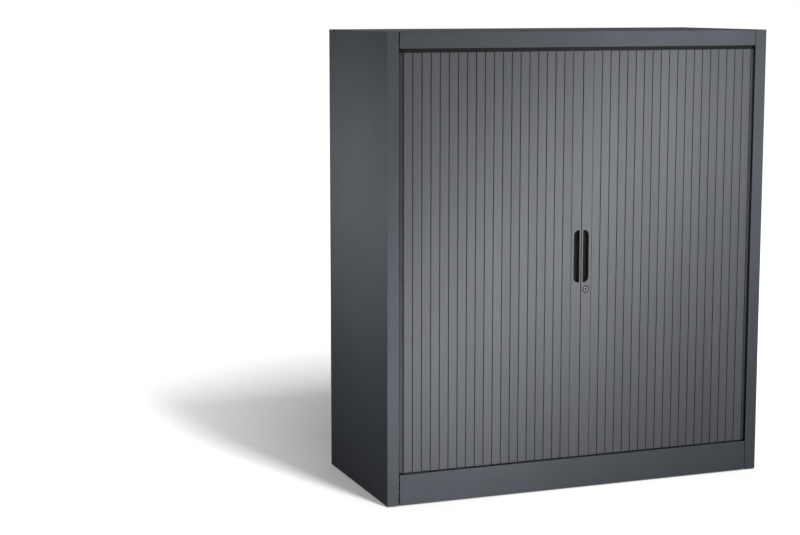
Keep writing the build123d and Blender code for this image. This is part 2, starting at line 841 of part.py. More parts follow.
right_side = {
    "side_panel": side_panel(),
    "side_liner": side_liner(),
    "lower_track": lower_track(),
    "upper_track": lower_to_upper(lower_track()),
    "handle_shell": handle_shell(),
    "lower_shoe": lower_shoe(),
    "upper_shoe": lower_to_upper(lower_shoe()),
}
nodes = {"right_" + name: piece for name, piece in right_side.items()}
nodes |= {"left_" + name: left_of(piece) for name, piece in right_side.items()}

slat_solid = slat()
curtain = [place * slat_solid for place in slat_places()]
curtain_parts = {"front_slats": curtain[:flat_slats], "tail_slats": curtain[flat_slats:]}
for name, slats in curtain_parts.items():
    nodes["right_" + name] = group(slats)
    nodes["left_" + name] = group([left_of(piece) for piece in slats])

nodes |= {
    "top_panel": top_panel(),
    "ceiling_panel": ceiling_panel(),
    "base_panel": base_panel(),
    "front_plinth": front_plinth(),
    "back_panel": back_panel(),
    "inner_back_panel": inner_back_panel(),
    "back_screws": back_screws(),
    "track_screws": both_ends(lower_track_screws()),
    "track_end_stops": both_ends([lower_end_stop(), left_of(lower_end_stop())]),
    "centre_stops": both_ends([lower_centre_stop()]),
    "right_lead_rail": right_lead_rail(),
    "left_lead_rail": left_lead_rail(),
    "lock_housing": lock_housing(),
    "lock_nut": lock_nut(),
    "lock_plug": lock_plug(),
    "lock_hook": lock_hook(),
    "hook_screw": hook_screw(),
    "lock_strike": lock_strike(),
    "strike_rivets": group([strike_rivet(z) for z in strike_rivet_heights()]),
    "access_caps": group([access_cap(x, y) for x, y in corners.values()]),
}
for shelf, level in enumerate(("lower", "upper")[:shelf_count]):
    nodes[level + "_shelf"] = shelf_panel(shelf)
    nodes[level + "_shelf_clips"] = shelf_clips(shelf)
for corner, (x, y) in corners.items():
    nodes[corner + "_foot_bracket"] = foot_bracket(x, y)
    nodes[corner + "_foot_nut"] = foot_nut(x, y)
    nodes[corner + "_foot_spindle"] = foot_spindle(x, y)
    nodes[corner + "_foot_pad"] = foot_pad(x, y)

for name, shape in nodes.items():
    export_step(shape, f"parts/{name}.step")
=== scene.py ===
"""Looks of the shutter cabinet: finishes, detailed slats, handles and screws, and a studio."""
import json
import math

import bpy
import numpy as np
from bpy.props import FloatProperty, FloatVectorProperty, IntProperty, PointerProperty
from bpy.types import Operator, Panel, PropertyGroup
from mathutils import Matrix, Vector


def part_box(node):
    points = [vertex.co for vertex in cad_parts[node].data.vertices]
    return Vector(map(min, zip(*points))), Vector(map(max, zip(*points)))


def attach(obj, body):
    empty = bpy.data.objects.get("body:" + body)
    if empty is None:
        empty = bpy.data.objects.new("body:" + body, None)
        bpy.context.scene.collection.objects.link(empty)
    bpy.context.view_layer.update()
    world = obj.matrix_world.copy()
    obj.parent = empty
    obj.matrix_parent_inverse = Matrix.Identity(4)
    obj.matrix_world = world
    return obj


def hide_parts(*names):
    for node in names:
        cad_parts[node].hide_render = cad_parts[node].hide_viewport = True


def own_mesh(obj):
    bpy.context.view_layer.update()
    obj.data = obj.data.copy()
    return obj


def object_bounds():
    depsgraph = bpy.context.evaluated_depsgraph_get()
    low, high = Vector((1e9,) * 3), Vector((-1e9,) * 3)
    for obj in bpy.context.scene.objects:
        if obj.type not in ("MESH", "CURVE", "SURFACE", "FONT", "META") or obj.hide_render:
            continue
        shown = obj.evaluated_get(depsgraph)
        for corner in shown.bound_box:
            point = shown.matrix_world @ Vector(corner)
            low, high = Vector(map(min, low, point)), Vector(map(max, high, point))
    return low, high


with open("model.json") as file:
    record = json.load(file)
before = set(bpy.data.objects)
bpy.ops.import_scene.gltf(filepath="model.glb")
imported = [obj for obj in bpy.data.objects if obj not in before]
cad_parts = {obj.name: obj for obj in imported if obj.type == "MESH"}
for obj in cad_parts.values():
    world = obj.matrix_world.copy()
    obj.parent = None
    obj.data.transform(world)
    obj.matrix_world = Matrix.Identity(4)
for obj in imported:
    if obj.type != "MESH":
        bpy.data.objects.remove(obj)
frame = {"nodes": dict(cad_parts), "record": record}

bl_info = {
    "name": "Shutter Cabinet Finishes",
    "version": (1, 0, 0),
    "blender": (4, 5, 0),
    "location": "View3D > Sidebar > Cabinet",
    "description": "Finishes and detail of a steel cabinet with side-rolling shutters",
    "category": "Object",
}

CAD_BOX = [list(corner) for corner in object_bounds()]
RECORD = frame["record"]
SLOT_OF = {part["node"]: part["material_slot"] for part in RECORD["subparts"]}
RECORD_COLOUR = {entry["slot"]: tuple(entry["base_color"]) for entry in RECORD["materials"]}
SIDES = {"left": -1.0, "right": 1.0}
MM = 0.001

# Sizes of the CAD source that the pieces drawn here keep to
FRONT_SLATS, ALL_SLATS = 19, 23  # of one shutter
SLAT_SPAN = (79.7 * MM, 1067.3 * MM)  # lower and upper end
PIN_SPANS = ((72.3 * MM, SLAT_SPAN[0]), (SLAT_SPAN[1], 1074.7 * MM))
PIN_RADIUS = 1.7 * MM
FIRST_JOINT = 27.2 * MM  # from the middle of the cabinet
CURTAIN_FRONT, CURTAIN_SIDE, CURTAIN_RADIUS = -204.5 * MM, 479.0 * MM, 29.5 * MM  # middle line of a curtain
CORNER_X, CORNER_Y = 449.5 * MM, -175.0 * MM  # centre of that line's corner
RAIL_FACE = -208.0 * MM
HANDLE_BOX = (4.5 * MM, 20.0 * MM, 510.0 * MM, 638.0 * MM)  # x low, x high, z low, z high
HANDLE_RADII = (1.5 * MM, 13.0 * MM)  # corners at x low and at x high
SIDE_SCREW_X, SIDE_SCREW_HEIGHTS = 492.5 * MM, np.linspace(0.062, 1.055, 5)
ROW_SCREW_PLACES, ROW_SCREW_HEIGHTS = (-0.3, 0.0, 0.3), (1107.5 * MM, 63.0 * MM)

SHARP_ANGLE = math.radians(32.0)  # edges over this angle stay crisp
FLOOR_HALF, FLOOR_LEVEL = 60.0, -0.0002  # half a side of the floor, and its height just under the feet


# Settings

class SteelSettings(PropertyGroup):
    """Powder-coated sheet steel."""
    colour: FloatVectorProperty(name="Colour", description="Colour of the powder coat", subtype="COLOR",
                                size=3, min=0, max=1, default=RECORD_COLOUR["painted_steel"])
    roughness: FloatProperty(name="Roughness", description="Roughness of the cured coat", default=0.6,
                             min=0, max=1)
    grain: FloatProperty(name="Grain", description="Size of the powder's grain", default=0.0011,
                         unit="LENGTH")
    relief: FloatProperty(name="Relief", description="Height of the grain", default=0.00004, unit="LENGTH")
    # The edges lightened over this width are partly wear and partly a painted highlight
    edge_width: FloatProperty(name="Edge width", description="Width of the thinner coat along edges",
                              default=0.0012, unit="LENGTH")


class SlatSettings(PropertyGroup):
    """Extruded slats of the two shutters."""
    colour: FloatVectorProperty(name="Colour", description="Colour of the slats", subtype="COLOR", size=3,
                                min=0, max=1, default=RECORD_COLOUR["slat_plastic"])
    roughness: FloatProperty(name="Roughness", description="Roughness of the extruded face", default=0.46,
                             min=0, max=1)
    pitch: FloatProperty(name="Pitch", description="From one joint to the next", default=0.0227,
                         unit="LENGTH")
    thickness: FloatProperty(name="Thickness", description="Depth of the curtain", default=0.006,
                             unit="LENGTH")
    groove: FloatProperty(name="Groove", description="Slit between two slat faces", default=0.002,
                          unit="LENGTH")
    crown: FloatProperty(name="Crown", description="Height of the face's crown", default=0.00015,
                         unit="LENGTH")
    edge: FloatProperty(name="Edge", description="Radius along both edges of the face", default=0.0008,
                        unit="LENGTH")
    flute: FloatProperty(name="Flute", description="Depth of the faint drawn lines", default=0.000012,
                         unit="LENGTH")
    flutes: IntProperty(name="Flutes", description="Drawn lines across one face", default=7, min=0)


class HandleSettings(PropertyGroup):
    """Moulded recessed handles."""
    draft: FloatProperty(name="Draft", description="How far the tray narrows towards its floor",
                         default=0.0006, unit="LENGTH")
    floor_radius: FloatProperty(name="Floor radius", description="Round between wall and floor",
                                default=0.0022, unit="LENGTH")


class StageSettings(PropertyGroup):
    """Floor, lights and camera."""
    floor: FloatVectorProperty(name="Floor", description="Colour of the floor", subtype="COLOR", size=3,
                               min=0, max=1, default=(0.85, 0.85, 0.85))
    key: FloatProperty(name="Key light", description="Power of the light that throws the shadow",
                       default=270.0, unit="POWER")
    strip: FloatProperty(name="Front strip", description="Power of the slanting strip in front",
                         default=6.7, unit="POWER")
    side: FloatProperty(name="Side lights", description="Unit of power of the soft lights round the cabinet",
                        default=2.2, unit="POWER")
    ambient: FloatProperty(name="Ambient", description="Level of the light from all round", default=0.075,
                           min=0)


# Shader helpers

def shader(name):
    """New material with an empty tree, an output and one Principled surface."""
    material = bpy.data.materials.new(name)
    material.use_nodes = True
    tree = material.node_tree
    tree.nodes.clear()
    surface = add(tree, "ShaderNodeBsdfPrincipled")
    add(tree, "ShaderNodeOutputMaterial", {"Surface": surface.outputs["BSDF"]})
    return material, tree, surface


def add(tree, kind, inputs=None, **settings):
    """Add one node, with its settings, and a value or a link for each input."""
    node = tree.nodes.new(kind)
    for key, value in settings.items():
        setattr(node, key, value)
    connect(tree, node, inputs or {})
    return node


def connect(tree, node, inputs):
    """Set or link the inputs of a node."""
    for key, value in inputs.items():
        if isinstance(value, bpy.types.NodeSocket):
            tree.links.new(value, node.inputs[key])
        else:
            node.inputs[key].default_value = value


def place(tree, centre=(0, 0, 0), stretch=(1, 1, 1)):
    """Object coordinates, moved so that centre is the origin, then multiplied by stretch."""
    coords = add(tree, "ShaderNodeTexCoord")
    moved = add(tree, "ShaderNodeVectorMath", {0: coords.outputs["Object"], 1: centre}, operation="SUBTRACT")
    return add(tree, "ShaderNodeVectorMath", {0: moved.outputs[0], 1: stretch},
               operation="MULTIPLY").outputs[0]


def noise(tree, vector, scale, detail=3.0, roughness=0.55):
    """Noise factor with features about 1 / scale metres wide."""
    return add(tree, "ShaderNodeTexNoise", {"Vector": vector, "Scale": scale, "Detail": detail,
                                            "Roughness": roughness}).outputs["Fac"]


def spread(tree, value, low, high, start=0.0, stop=1.0):
    """Map a value from start..stop to low..high, clamped."""
    return add(tree, "ShaderNodeMapRange", {"Value": value, "From Min": start, "From Max": stop,
                                            "To Min": low, "To Max": high}).outputs[0]


def banded(tree, fac, low, high):
    """Map the middle band of a noise, 0.3..0.7, to low..high, clamped."""
    return spread(tree, fac, low, high, 0.3, 0.7)


def math_node(tree, operation, first, second):
    """One arithmetic node."""
    return add(tree, "ShaderNodeMath", {0: first, 1: second}, operation=operation).outputs[0]


def ramp(tree, value, stops):
    """Colour along a list of (position, colour)."""
    node = add(tree, "ShaderNodeValToRGB", {"Fac": value})
    elements = node.color_ramp.elements
    while len(elements) < len(stops):
        elements.new(1.0)
    for element, (position, colour) in zip(elements, stops):
        element.position = position
        element.color = (*colour, 1.0)
    return node.outputs["Color"]


def bump(tree, height, distance, strength, normal=None):
    """Relief of a given height in metres."""
    inputs = {"Height": height, "Distance": distance, "Strength": strength}
    if normal is not None:
        inputs["Normal"] = normal
    return add(tree, "ShaderNodeBump", inputs).outputs["Normal"]


def edge_mask(tree, width):
    """0 on flat faces, up to 1 along edges, over about the given width."""
    rounded = add(tree, "ShaderNodeBevel", {"Radius": width}, samples=6)
    flat = add(tree, "ShaderNodeNewGeometry")
    facing = add(tree, "ShaderNodeVectorMath", {0: rounded.outputs["Normal"], 1: flat.outputs["Normal"]},
                 operation="DOT_PRODUCT").outputs["Value"]
    return spread(tree, facing, 1.0, 0.0, 0.80, 0.995)


def crevice(tree, depth):
    """1 on open faces, down to 0 inside joints and grooves about as narrow as the given depth: the mask for
    painted shade.
    """
    return add(tree, "ShaderNodeAmbientOcclusion", {"Distance": depth}, samples=6).outputs["AO"]


def painted_crevice_shade(tree, colour, depth, share=0.25, closed=0.15, clear=0.6):
    """Colour with painted shade: it darkens to a share of itself inside joints and corners about as narrow as
    a depth: the full share where the crevice value is closed or less, and nothing where it is clear or more."""
    scale = spread(tree, crevice(tree, depth), share, 1.0, closed, clear)
    return add(tree, "ShaderNodeVectorMath", {0: colour, "Scale": scale}, operation="SCALE").outputs[0]


def shade(colour, factor):
    """Colour made lighter or darker by one factor."""
    return tuple(min(1.0, channel * factor) for channel in colour)


def paint(nodes, material):
    """Give CAD nodes one material."""
    for name in nodes:
        mesh = frame["nodes"][name].data
        mesh.materials.clear()
        mesh.materials.append(material)


def nodes_in(slot):
    """Names of the CAD nodes whose finish is one slot."""
    return sorted(name for name, own in SLOT_OF.items() if own == slot)


# Materials

def powder_coat(settings):
    """Satin powder coat: fine grain over a slow orange peel, cloudy tone, lighter on edges, partly as a
    thinner, worn coat and partly as a painted highlight, and painted shade in joints.
    """
    material, tree, surface = shader("powder_coated_steel")
    here = place(tree)
    cloud = noise(tree, here, 7.0, 4.0)
    grain = noise(tree, here, 1.0 / settings.grain, 2.0, 0.7)
    peel = noise(tree, here, 160.0, 2.0)
    edge = edge_mask(tree, settings.edge_width)
    # Edges lighter, partly wear and partly a painted highlight
    edge_wear_and_highlight = math_node(tree, "MULTIPLY", edge, spread(tree, noise(tree, here, 60.0), 0.35, 1.0, 0.35, 0.65))
    tone = math_node(tree, "ADD", banded(tree, cloud, 0.0, 0.34),
                     banded(tree, grain, 0.0, 0.22))
    tone = math_node(tree, "ADD", tone, math_node(tree, "MULTIPLY", edge_wear_and_highlight, 0.44))
    colour = tuple(settings.colour)
    connect(tree, surface, {
        # Painted shade in joints and corners about 4 mm narrow
        "Base Color": painted_crevice_shade(tree, ramp(tree, tone, [(0.0, shade(colour, 1.16)), (0.45, shade(colour, 1.36)),
                                                      (1.0, shade(colour, 2.05))]), 0.004),
        "Roughness": banded(tree, cloud, settings.roughness - 0.05, settings.roughness + 0.05),
        "Specular IOR Level": 0.005,
        "Normal": bump(tree, grain, settings.relief, 1.0,
                       bump(tree, peel, settings.relief * 2.0, 0.6)),
    })
    return material


def extruded_slat(settings, toned):
    """Satin extrusion: drawn lines along the slat, cloudy tone, lighter edges, partly wear and partly a
    painted highlight, each slat a little different, and painted shade in joints and recesses; on the shutters
    also painted shade behind the face, in the groove."""
    material, tree, surface = shader("extruded_slat_toned" if toned else "extruded_slat")
    here = place(tree)
    lines = noise(tree, place(tree, stretch=(1.0, 1.0, 0.004)), 900.0, 3.0, 0.6)
    cloud = noise(tree, place(tree, stretch=(1.0, 1.0, 0.2)), 12.0, 4.0)
    grain = noise(tree, here, 1500.0, 2.0, 0.6)
    edge = edge_mask(tree, settings.edge * 1.5)
    tone = math_node(tree, "ADD", banded(tree, lines, 0.0, 0.22),
                     banded(tree, cloud, 0.0, 0.26))
    if toned:
        own = add(tree, "ShaderNodeAttribute", attribute_name="slat_tone").outputs["Fac"]
        tone = math_node(tree, "ADD", tone, own)
    # Lighter edges, partly wear and partly a painted highlight
    tone = math_node(tree, "ADD", tone, math_node(tree, "MULTIPLY", edge, 0.3))
    colour = tuple(settings.colour)
    face = painted_crevice_shade(tree, ramp(tree, tone, [(0.0, shade(colour, 0.86)), (0.5, shade(colour, 1.05)),
                                           (1.0, shade(colour, 1.5))]), 0.003)
    # Painted shade over the face near stiles and other parts within about 30 mm
    face = painted_crevice_shade(tree, face, 0.03, share=0.3, closed=0.3, clear=0.8)
    if toned:
        # Painted shade: points behind the face plate, in the groove, turn nearly black
        groove_shade = add(tree, "ShaderNodeAttribute", attribute_name="slat_groove_shade").outputs["Fac"]
        mixed = add(tree, "ShaderNodeMix", {"Factor": groove_shade}, data_type="RGBA")
        connect(tree, mixed, {6: face, 7: (*shade(colour, 0.12), 1.0)})
        face = mixed.outputs[2]
    connect(tree, surface, {
        "Base Color": face,
        "Roughness": banded(tree, lines, settings.roughness - 0.06, settings.roughness + 0.06),
        "Specular IOR Level": 0.09,
        "Normal": bump(tree, lines, 0.00003, 0.7, bump(tree, grain, 0.00001, 0.5)),
    })
    return material


def moulded_black():
    """Black moulded plastic with a fine eroded grain, edges lightened partly as wear and partly as a painted
    highlight, and painted shade in its hollows.
    """
    material, tree, surface = shader("moulded_black_plastic")
    here = place(tree)
    pits = add(tree, "ShaderNodeTexVoronoi", {"Vector": here, "Scale": 1400.0}).outputs["Distance"]
    cloud = noise(tree, here, 30.0, 4.0)
    edge = edge_mask(tree, 0.0008)
    tone = math_node(tree, "ADD", banded(tree, cloud, 0.0, 0.5),
                     math_node(tree, "MULTIPLY", edge, 0.5))
    colour = RECORD_COLOUR["black_plastic"]
    connect(tree, surface, {
        # Painted shade in the handle trays and other narrow hollows
        "Base Color": painted_crevice_shade(tree, ramp(tree, tone, [(0.0, shade(colour, 0.8)), (0.5, shade(colour, 1.2)),
                                                      (1.0, shade(colour, 2.4))]),
                              0.02, share=0.75, closed=0.2, clear=0.8),
        "Roughness": banded(tree, cloud, 0.42, 0.58),
        "Specular IOR Level": 0.08,
        "Normal": bump(tree, pits, 0.00003, 0.6),
    })
    return material


def zinc_plate():
    """Zinc plate, finely spangled and cloudy."""
    material, tree, surface = shader("zinc_plate")
    here = place(tree)
    spangle = noise(tree, here, 420.0, 4.0, 0.7)
    cloud = noise(tree, here, 60.0, 3.0)
    colour = RECORD_COLOUR["zinc_steel"]
    connect(tree, surface, {
        "Base Color": ramp(tree, math_node(tree, "ADD", math_node(tree, "MULTIPLY", spangle, 0.6),
                                           math_node(tree, "MULTIPLY", cloud, 0.4)),
                           [(0.25, shade(colour, 0.6)), (0.75, shade(colour, 0.9))]),
        "Metallic": 1.0,
        "Roughness": banded(tree, cloud, 0.34, 0.48),
        "Normal": bump(tree, spangle, 0.000012, 0.8),
    })
    return material


def lacquer():
    """Black lacquer over a die casting, with a faint peel and edges lightened partly as wear and partly as a
    painted highlight.
    """
    material, tree, surface = shader("black_lacquer")
    here = place(tree)
    peel = noise(tree, here, 700.0, 2.0)
    edge = edge_mask(tree, 0.0004)
    colour = RECORD_COLOUR["lock_black"]
    connect(tree, surface, {
        "Base Color": ramp(tree, math_node(tree, "ADD", math_node(tree, "MULTIPLY", peel, 0.5),
                                           math_node(tree, "MULTIPLY", edge, 0.5)),
                           [(0.1, shade(colour, 0.5)), (0.4, shade(colour, 0.7)), (1.0, shade(colour, 2.2))]),
        "Roughness": banded(tree, peel, 0.28, 0.42),
        "Specular IOR Level": 0.1,
        "Normal": bump(tree, peel, 0.00001, 0.6),
    })
    return material


def lock_face(centre):
    """Nickel plug, turned in circles, round a dark disc in its middle that is painted shade of the keyhole.
    """
    material, tree, surface = shader("satin_nickel_plug")
    flat = place(tree, centre, (1.0, 0.0, 1.0))
    radius = add(tree, "ShaderNodeVectorMath", {0: flat}, operation="LENGTH").outputs["Value"]
    turned = noise(tree, add(tree, "ShaderNodeCombineXYZ", {"X": radius}).outputs[0], 5200.0, 2.0)
    keyhole_shade = spread(tree, radius, 1.0, 0.0, 4.4 * MM, 4.6 * MM)
    colour = RECORD_COLOUR["lock_chrome"]
    nickel = ramp(tree, turned, [(0.25, shade(colour, 0.3)), (0.75, shade(colour, 0.5))])
    dark = ramp(tree, noise(tree, place(tree), 900.0), [(0.3, (0.012, 0.012, 0.013)),
                                                         (0.7, (0.02, 0.02, 0.021))])
    mixed = add(tree, "ShaderNodeMix", {"Factor": keyhole_shade}, data_type="RGBA")
    connect(tree, mixed, {6: nickel, 7: dark})
    connect(tree, surface, {
        "Base Color": mixed.outputs[2],
        "Metallic": math_node(tree, "SUBTRACT", 1.0, keyhole_shade),
        "Roughness": spread(tree, keyhole_shade, 0.3, 0.5),
        "Normal": bump(tree, turned, 0.000012, 0.8),
    })
    return material


def rubber():
    """Dull black rubber."""
    material, tree, surface = shader("black_rubber")
    here = place(tree)
    grain = noise(tree, here, 1100.0, 3.0, 0.7)
    colour = RECORD_COLOUR["rubber"]
    connect(tree, surface, {
        "Base Color": ramp(tree, grain, [(0.3, shade(colour, 0.8)), (0.7, shade(colour, 1.5))]),
        "Roughness": banded(tree, grain, 0.72, 0.9),
        "Specular IOR Level": 0.25,
        "Normal": bump(tree, grain, 0.00004, 0.7),
    })
    return material


def kept(name, make):
    """The material of a name, made when it is first asked for."""
    return bpy.data.materials.get(name) or make()


# Surfaces

def new_piece(name, vertices, faces, material, body, slot, replaced):
    """Mesh object from whole arrays, with crisp edges over one angle, riding on its body."""
    mesh = bpy.data.meshes.new(name)
    mesh.from_pydata(vertices, [], faces)
    mesh.update()
    mesh.validate()
    mesh.shade_smooth()
    mesh.set_sharp_from_angle(angle=SHARP_ANGLE)
    mesh.materials.append(material)
    piece = bpy.data.objects.new(name, mesh)
    bpy.context.scene.collection.objects.link(piece)
    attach(piece, body)
    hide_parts(*replaced)
    return piece


def arc(x, y, radius, start, stop, count, tall=1.0):
    """Points x + r cos a, y + r tall sin a, for count angles in degrees from start to stop."""
    angle = np.radians(np.linspace(start, stop, count))
    return np.column_stack((x + radius * np.cos(angle), y + radius * tall * np.sin(angle)))


def slat_outline(settings):
    """Plan of one slat, seen from above, anticlockwise, with its first joint at the origin and its face
    towards -Y. The face is y = -t/2 + crown (2u - 1)^2 + flute (1 - cos(2 pi n u)) / 2, with u from 0 to 1
    across it, between two rounded edges. Behind it are the body, the bead at the first joint and the
    open ring round the next one."""
    half = settings.thickness / 2
    pitch = settings.pitch
    left, right = settings.groove / 2, pitch - settings.groove / 2
    radius = settings.edge
    face_y = settings.crown - half
    u = np.linspace(0.0, 1.0, 8 * max(settings.flutes, 1) + 1)
    across = left + radius + (right - left - 2 * radius) * u
    face = np.column_stack((across, -half + settings.crown * (2 * u - 1) ** 2
                            + settings.flute * (1 - np.cos(2 * np.pi * settings.flutes * u)) / 2))
    plate_back = -half + 0.75 * MM
    tall = (plate_back - face_y - 0.1 * MM) / radius
    neck = 0.4 * MM
    bead = 1.05 * MM
    outer, inner = 1.95 * MM, 1.25 * MM
    mouth_low, mouth_high = 328, 68  # the ring is open between these angles, towards the next slat
    body_left, body_right = 2.5 * MM, pitch - (inner + outer) / 2
    bevel = 0.3 * MM
    join = math.degrees(math.acos((pitch - body_right) / outer))
    neck_angle = math.degrees(math.asin(neck / bead))
    return np.concatenate([
        arc(left + radius, face_y + radius * tall, radius, 180, 270, 5, tall)[:-1],
        face,
        arc(right - radius, face_y + radius * tall, radius, 270, 360, 5, tall)[1:],
        [(right, plate_back), (body_right, plate_back)],
        arc(pitch, 0.0, outer, 180 + join, mouth_low, 10),
        arc(pitch, 0.0, inner, mouth_low, mouth_high, 14),
        arc(pitch, 0.0, outer, mouth_high, 180 - join, 7),
        [(body_right, half - bevel), (body_right - bevel, half), (body_left + bevel, half),
         (body_left, half - bevel), (body_left, neck)],
        arc(0.0, 0.0, bead, neck_angle, 360 - neck_angle, 14),
        [(body_left, -neck), (body_left, plate_back), (left, plate_back)],
    ])


def path_distance(x, y):
    """Distance of a point outside the line that the curtain follows: front, corner, side."""
    if x <= CORNER_X:
        return CURTAIN_FRONT - y
    if y >= CORNER_Y:
        return x - CURTAIN_SIDE
    return math.hypot(x - CORNER_X, y - CORNER_Y) - CURTAIN_RADIUS


def slat_frames(settings):
    """First joint and heading of every slat of the right shutter. Each heading is the one that puts the
    middle of the slat on the curtain's line, found by halving the range of angles."""
    least_turn, largest_turn, halvings = math.radians(-10), math.radians(80), 50
    x, y, heading = FIRST_JOINT, CURTAIN_FRONT, 0.0
    frames = []
    for _ in range(ALL_SLATS):
        low, high = heading + least_turn, heading + largest_turn
        for _ in range(halvings):
            trial = (low + high) / 2
            middle = (x + settings.pitch / 2 * math.cos(trial), y + settings.pitch / 2 * math.sin(trial))
            low, high = (trial, high) if path_distance(*middle) > 0 else (low, trial)
        heading = round(low, 6)
        frames.append((x, y, heading))
        x += settings.pitch * math.cos(heading)
        y += settings.pitch * math.sin(heading)
    return np.array(frames)


def prisms(outline, frames, bottom, top):
    """Upright prisms: the outline turned by each heading and moved to each joint, at two heights. The walls
    are quads between neighbouring outline points, and one many-sided face closes each end."""
    count, points = len(frames), len(outline)
    cos, sin = np.cos(frames[:, 2])[:, None], np.sin(frames[:, 2])[:, None]
    x = frames[:, 0, None] + cos * outline[:, 0] - sin * outline[:, 1]
    y = frames[:, 1, None] + sin * outline[:, 0] + cos * outline[:, 1]
    rings = [np.stack((x, y, np.full_like(x, z)), axis=-1) for z in (bottom, top)]
    vertices = np.stack(rings, axis=1).reshape(-1, 3)
    start = 2 * points * np.arange(count)[:, None]
    here = np.arange(points)
    after = (here + 1) % points
    walls = np.stack((start + here, start + after, start + after + points, start + here + points), axis=-1)
    lower = start + here[::-1]
    upper = start + points + here
    return vertices, walls.reshape(-1, 4).tolist() + lower.tolist() + upper.tolist()


def joined(parts):
    """Several (vertices, faces) pairs as one."""
    vertices, faces, shift = [], [], 0
    for own_vertices, own_faces in parts:
        vertices.append(own_vertices)
        faces += [[index + shift for index in face] for face in own_faces]
        shift += len(own_vertices)
    return np.concatenate(vertices), faces


def mirrored(vertices, faces, side):
    """The same shape for the left side: x changes its sign, and each face its order."""
    if side > 0:
        return vertices, faces
    return vertices * (-1.0, 1.0, 1.0), [face[::-1] for face in faces]


def slat_group(settings, frames, side):
    """Slats with a round guide pin at both ends of each, the tone of every point, and 1 for every point that
    lies behind the face plate, where the groove gets painted shade."""
    outline = slat_outline(settings)
    slats = prisms(outline, frames, *SLAT_SPAN)
    pin = arc(settings.pitch / 2, 0.0, PIN_RADIUS, 0, 360, 17)[:-1]
    pins = [prisms(pin, frames, *span) for span in PIN_SPANS]
    tones = np.random.default_rng(11).uniform(-0.07, 0.07, 64)[:len(frames)]
    tone = np.concatenate([np.repeat(tones, 2 * len(outline)), np.repeat(np.tile(tones, 2), 2 * len(pin))])
    groove_shade_depth = 0.8 * MM
    behind = (outline[:, 1] > groove_shade_depth - settings.thickness / 2).astype(float)
    groove_shade = np.concatenate([np.tile(behind, 2 * len(frames)), np.ones(4 * len(frames) * len(pin))])
    return (*mirrored(*joined([slats, *pins]), side), tone, groove_shade)


def rounded_outline(box, radii, inset, count=10):
    """Outline of a rectangle with a radius for each side, moved inwards by inset: quarter circles of radius
    max(r - inset, 0.3 mm), tangent to the moved sides. box is (x low, x high, z low, z high), and radii
    belong to x low and x high. Points go anticlockwise, seen from the front."""
    x_low, x_high, z_low, z_high = box
    low, high = (max(radius - inset, 0.3 * MM) for radius in radii)
    corners = [(x_high - inset - high, z_high - inset - high, high, 0),
               (x_low + inset + low, z_high - inset - low, low, 90),
               (x_low + inset + low, z_low + inset + low, low, 180),
               (x_high - inset - high, z_low + inset + high, high, 270)]
    return np.concatenate([arc(x, z, radius, start, start + 90, count) for x, z, radius, start in corners])


def ring_shell(outlines, depths):
    """Closed shell through rings of equal point counts, each at its own depth y, with one many-sided face
    over the first ring and one over the last."""
    rings = np.stack([np.column_stack((outline[:, 0], np.full(len(outline), y), outline[:, 1]))
                      for outline, y in zip(outlines, depths)])
    count, points = rings.shape[:2]
    ring, here = np.meshgrid(np.arange(count - 1), np.arange(points), indexing="ij")
    start, after = ring * points + here, ring * points + (here + 1) % points
    walls = np.stack((start, start + points, after + points, after), axis=-1).reshape(-1, 4)
    first = np.arange(points).tolist()
    last = (np.arange(points)[::-1] + (count - 1) * points).tolist()
    return rings.reshape(-1, 3), walls.tolist() + [first, last]


def revolved(profile, x, z, count=64):
    """Closed ring about an axis along Y: every point (r, y) of the closed profile goes round the axis as
    (x + r cos a, y, z + r sin a)."""
    angle = np.linspace(0.0, 2 * np.pi, count, endpoint=False)[:, None]
    r, y = profile[:, 0], profile[:, 1]
    points = np.stack((x + r * np.cos(angle), np.broadcast_to(y, (count, len(y))), z + r * np.sin(angle)),
                      axis=-1)
    turn, here = np.meshgrid(np.arange(count), np.arange(len(y)), indexing="ij")
    start, after = turn * len(y) + here, turn * len(y) + (here + 1) % len(y)
    next_start = (turn + 1) % count * len(y) + here
    next_after = (turn + 1) % count * len(y) + (here + 1) % len(y)
    walls = np.stack((start, next_start, next_after, after), axis=-1).reshape(-1, 4)
    return points.reshape(-1, 3), walls.tolist()


def handle_tray(settings):
    """Right handle: a closed shell through rings that are each inset from the outline by i at depth y. They
    run from the back forwards along the outside, round the flange behind the rail's sheet and the front
    edge, and back along the inside, where i grows by the draft, and a quarter circle of radius r leads into
    the floor: i = wall + draft + r (1 - cos a), y = floor - r (1 - sin a)."""
    front, back = -207.85 * MM, -193.2 * MM
    flange, flange_front, flange_back = 1.5 * MM, -206.4 * MM, -205.4 * MM
    wall, edge, heel, bevel = 1.0 * MM, 0.3 * MM, 0.6 * MM, 0.1 * MM
    profile = [(heel, back), (heel / 4, back - heel / 4), (0.0, back - heel), (0.0, flange_back),
               (bevel - flange, flange_back), (-flange, flange_back - bevel), (-flange, flange_front),
               (0.0, flange_front), (0.0, front + edge), (bevel, front + bevel), (edge, front),
               (wall - edge, front), (wall - bevel, front + bevel), (wall, front + edge)]
    inner, floor, radius = wall + settings.draft, back - wall, settings.floor_radius
    profile += [(inner + radius * (1 - math.cos(a)), floor - radius * (1 - math.sin(a)))
                for a in np.radians(np.linspace(0.0, 90.0, 6))]
    outlines = [rounded_outline(HANDLE_BOX, HANDLE_RADII, inset) for inset, _ in profile]
    return ring_shell(outlines, [depth for _, depth in profile])


